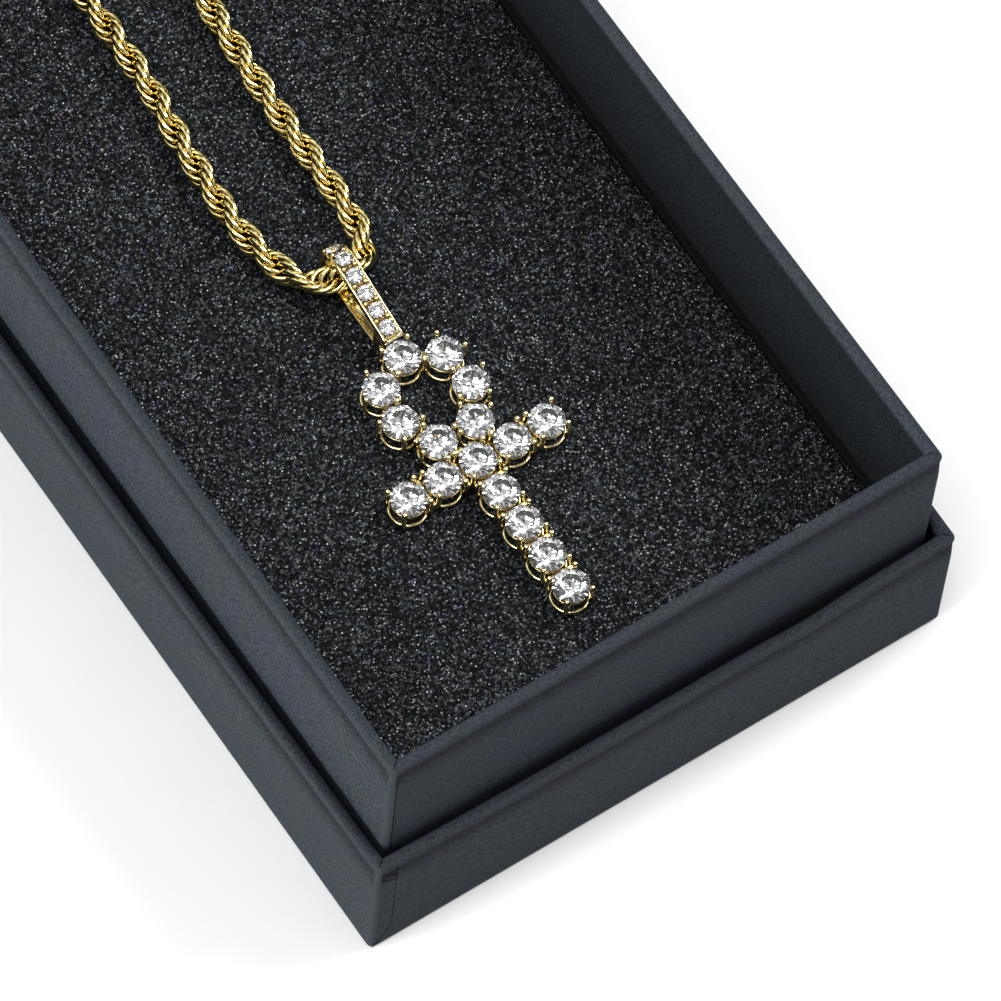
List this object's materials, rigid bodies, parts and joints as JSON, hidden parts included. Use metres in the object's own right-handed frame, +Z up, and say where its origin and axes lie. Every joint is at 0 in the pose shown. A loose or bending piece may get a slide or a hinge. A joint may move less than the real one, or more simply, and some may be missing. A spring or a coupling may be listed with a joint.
{
  "type": "ankh pendant necklace in gift box",
  "caption": "Ankh pendant of round claw-set stones on a rope chain, lying on the foam pad of an open rigid gift box that stands in its lid.",
  "frame": {"origin": "centre of the underside of the box's lid, on the surface it stands on", "axes": "+X across the box, +Y along it towards the end where the chain goes under the pad, +Z up"},
  "size_m": [0.0702, 0.1262, 0.0346],
  "materials": {
    "lid_paper": "matte slate black paper wrap",
    "tray_paper": "matte slate black paper wrap",
    "foam": "black foam with fine sparkling specks",
    "chain_gold": "bright yellow gold plate",
    "pendant_gold": "bright yellow gold plate",
    "clear_stone": "clear faceted stone"
  },
  "bodies": {
    "root": {"box_lid": "lid_paper", "box_tray": "tray_paper", "foam_pad": "foam", "rope_chain": "chain_gold", "clasp": "chain_gold", "ankh_frame": "pendant_gold", "bail": "pendant_gold", "centre_stone": "clear_stone", "right_arm_stone_1": "clear_stone", "right_arm_stone_2": "clear_stone", "left_arm_stone_1": "clear_stone", "left_arm_stone_2": "clear_stone", "stem_stone_1": "clear_stone", "stem_stone_2": "clear_stone", "stem_stone_3": "clear_stone", "stem_stone_4": "clear_stone", "loop_stone_1": "clear_stone", "loop_stone_2": "clear_stone", "loop_stone_3": "clear_stone", "loop_stone_4": "clear_stone", "loop_stone_5": "clear_stone", "loop_stone_6": "clear_stone", "loop_stone_7": "clear_stone", "bail_stone_1": "clear_stone", "bail_stone_2": "clear_stone", "bail_stone_3": "clear_stone", "bail_stone_4": "clear_stone", "bail_stone_5": "clear_stone", "bail_stone_6": "clear_stone", "bail_stone_7": "clear_stone"}
  },
  "joints": []
}
